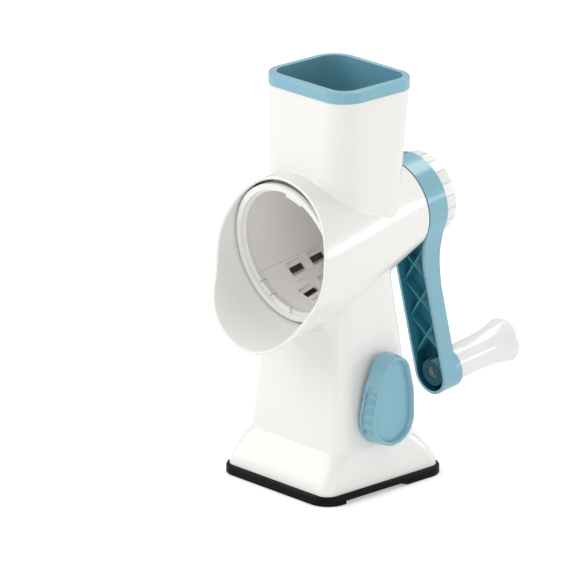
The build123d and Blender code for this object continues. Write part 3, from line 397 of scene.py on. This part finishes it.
def make_pad():
    """Rubber pad under the base, and how far it reaches on the lever's side."""
    low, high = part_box("suction_pad")
    bm = bmesh.new()
    bmesh.ops.create_cube(bm, size=1.0)
    bmesh.ops.scale(bm, vec=high - low, verts=bm.verts)
    bmesh.ops.translate(bm, vec=(high + low) / 2, verts=bm.verts)
    upright = [e for e in bm.edges if abs(e.verts[0].co.z - e.verts[1].co.z) > UPRIGHT_MIN]
    round_edges(bm, upright, PAD_CORNER, PAD_CORNER_STEPS)
    round_edges(bm, flat_edges(bm, high.z), PAD_EDGE_ROUND, PAD_EDGE_STEPS)
    round_edges(bm, flat_edges(bm, low.z), PAD_LIP_ROUND, PAD_LIP_STEPS)
    return bm, high.x


def notch_cutter(side):
    """Block that leaves the finger notch under the pad's edge."""
    cutter = bmesh.new()
    bmesh.ops.create_cube(cutter, size=1.0)
    length = NOTCH_REAR - NOTCH_FRONT
    middle = (NOTCH_REAR + NOTCH_FRONT) / 2
    bmesh.ops.scale(cutter, vec=(2 * NOTCH_DEPTH, length, 2 * NOTCH_HEIGHT), verts=cutter.verts)
    bmesh.ops.translate(cutter, vec=(side, middle, 0), verts=cutter.verts)
    for vert in cutter.verts:
        if vert.co.z > 0 and vert.co.y > 0:
            vert.co.y = NOTCH_FULL
    inner = [e for e in cutter.edges if all(v.co.x < side and v.co.z > 0 for v in e.verts)]
    round_edges(cutter, inner, NOTCH_ROUND, NOTCH_STEPS)
    return cutter


bm, pad_side = make_pad()
notch = notch_cutter(pad_side)
pad = finish_piece(
    bm, "rubber_pad", "housing", pad_rubber, ["suction_pad"], PAD_SHARP
)
cut_away(pad, [notch], PAD_SHARP)

# ---------------------------------------------------------------- lever knob
LEVER_HEIGHT = 53.6 * MM
GROOVE_ROWS = (-8.0, -1.6, 4.8, 11.2, 17.6)     # above the lever's axis, in mm
GROOVE_RADIUS = 3.4 * MM
GROOVE_STEPS = 40
GROOVE_DEPTH = 1.6 * MM
GROOVE_MARGIN = 1.6 * MM
KNOB_FOOT = 2.0 * MM
KNOB_SHARP = math.radians(24)
PROBE_START = 10.0 * MM             # in front of the knob


def merged_copy(name):
    """A CAD node's mesh in work, with its doubles merged."""
    bm = bmesh.new()
    bm.from_mesh(nodes[name].data)
    bmesh.ops.remove_doubles(bm, verts=bm.verts, dist=SAME_PLACE)
    return bm


def groove_rod(face_end, foot_end, out):
    """Round rod along a line on the knob's flank, sunk into it by the groove's depth."""
    rod = bmesh.new()
    along = face_end - foot_end
    bmesh.ops.create_cone(
        rod,
        cap_ends=True,
        segments=GROOVE_STEPS,
        radius1=GROOVE_RADIUS,
        radius2=GROOVE_RADIUS,
        depth=along.length,
    )
    turn = along.to_track_quat("Z", "Y").to_matrix().to_4x4()
    shift = (face_end + foot_end) / 2 + out * (GROOVE_RADIUS - GROOVE_DEPTH)
    bmesh.ops.transform(rod, matrix=Matrix.Translation(shift) @ turn, verts=rod.verts)
    return rod


bm = merged_copy("lever_knob")
low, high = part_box("lever_knob")
flank = BVHTree.FromBMesh(bm)
rods = []
for row in GROOVE_ROWS:
    ends = []
    for x in (high.x - GROOVE_MARGIN, low.x + KNOB_FOOT):
        start = Vector((x, low.y - PROBE_START, LEVER_HEIGHT + row * MM))
        point, normal, _, _ = flank.ray_cast(start, Vector((0, 1, 0)))
        ends.append(point)
    out = Vector((0, normal.y, normal.z)).normalized()      # at the foot, probed last
    rods.append(groove_rod(ends[0], ends[1], out))
knob = finish_piece(
    bm, "lever_knob_grooved", "lever", accent_blue, ["lever_knob"], KNOB_SHARP
)
cut_away(knob, rods, KNOB_SHARP)

# ---------------------------------------------------------------- crank channel, with painted shade
HUB_FRONT = 62.5 * MM
HUB_RADIUS = 31.9 * MM
ARM_WALL = 2.2 * MM
ARM_HALF_WIDTH = 15.0 * MM
ARM_BACK = HUB_FRONT + 12.0 * MM    # faces beyond this lie on the arm's back
ARM_RIM = HUB_FRONT + 0.8 * MM      # faces before this that look forward are the rim
ALONG_AXIS = 0.9                    # share of a normal that counts as along the axis
HUB_WALL_SHARE = 0.6                # share of the wall that the hub's inside starts at
ARM_WALL_SHARE = 0.4
TURNED_OUT = 1e-4
POCKET_START = 108.0 * MM           # the nut's end of the channel, where the painted shade turns darker
CHANNEL, POCKET = 1, 2


def in_channel(point, normal):
    """True where a face of the crank lies in the open channel, not on its outside or rim."""
    offset = point - AXIS_POINT
    station = offset.dot(REARWARD)
    down = offset.dot(ARM_OUT)
    side = offset.dot(ARM_SIDE)
    if station > ARM_BACK or normal.dot(REARWARD) > ALONG_AXIS:
        return False
    if normal.dot(REARWARD) < -ALONG_AXIS and station < ARM_RIM:
        return False
    if math.hypot(down, side) < HUB_RADIUS - HUB_WALL_SHARE * ARM_WALL:
        return True
    inside_walls = abs(side) < ARM_HALF_WIDTH - ARM_WALL_SHARE * ARM_WALL
    return inside_walls and side * normal.dot(ARM_SIDE) <= TURNED_OUT


# Painted shade: channel faces get a darker blue, and those past POCKET_START, at the nut's end, a
# darker one still.
crank = nodes["crank_arm"]
crank.data.materials.append(channel_painted_shade)
crank.data.materials.append(pocket_painted_shade)
for face in crank.data.polygons:
    if in_channel(face.center, face.normal):
        deep = (face.center - AXIS_POINT).dot(ARM_OUT) > POCKET_START
        face.material_index = POCKET if deep else CHANNEL

# ---------------------------------------------------------------- inside faces of the mouldings, with painted shade and light
COLLAR_TOP = 283.0 * MM
COLLAR_LIP_ROUND = 0.4 * MM
COLLAR_MIDDLE = Vector((0, 6.9 * MM, 0))
COLLAR_INWARD = 5.0 * MM            # a face that looks at the middle from further off is inside
LINER = 1
BARREL_INSIDE = 62.0 * MM           # distance from the axis that all inside faces keep within
BARREL_REAR = 57.5 * MM
LOOKS_INWARD = 0.6                  # share of a normal that points at the axis
UPPER_SHARE = 0.3                   # share of the distance from the axis that is upwards
CHAMBER_FRONT = -38.0 * MM
HOPPER_FRONT = -33.0 * MM
MOUTH, CHAMBER = 1, 2
RING_REAR = -38.4 * MM
RING = 1


def axis_place(point):
    """Station along the barrel's axis, and the way from the axis to a point."""
    offset = point - AXIS_POINT
    station = offset.dot(REARWARD)
    return station, offset - REARWARD * station


# Painted shade: the collar's inner wall below the lip gets the darker liner blue.
collar = nodes["hopper_collar"]
collar.data.materials.append(liner_painted_shade_blue)
for face in collar.data.polygons:
    inward = (COLLAR_MIDDLE - face.center) * Vector((1, 1, 0))
    below_lip = face.center.z < COLLAR_TOP - COLLAR_LIP_ROUND
    if below_lip and face.normal.dot(inward) > COLLAR_INWARD:
        face.material_index = LINER

# Painted shade: the barrel's inside faces behind the mouth get the near-black chamber grey. The
# mouth's inside faces get the satin white, and faces under the hopper keep the housing white.
housing = nodes["main_housing"]
housing.data.materials.append(mouth_white)
housing.data.materials.append(chamber_painted_shade)
for face in housing.data.polygons:
    station, out = axis_place(face.center)
    reach = out.length
    if reach > BARREL_INSIDE or station > BARREL_REAR:
        continue
    if face.normal.dot(out) > -LOOKS_INWARD * reach:
        continue
    under_hopper = out.dot(BARREL_UP) > UPPER_SHARE * reach and station > HOPPER_FRONT
    if not under_hopper:
        face.material_index = CHAMBER if station > CHAMBER_FRONT else MOUTH

# Painted light: the drum's front ring gets the lighter ring white. The rest keeps the darker drum
# white, which is painted shade.
drum = nodes["drum_frame"]
drum.data.materials.append(ring_painted_light)
for face in drum.data.polygons:
    if axis_place(face.center)[0] < RING_REAR:
        face.material_index = RING

low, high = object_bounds()
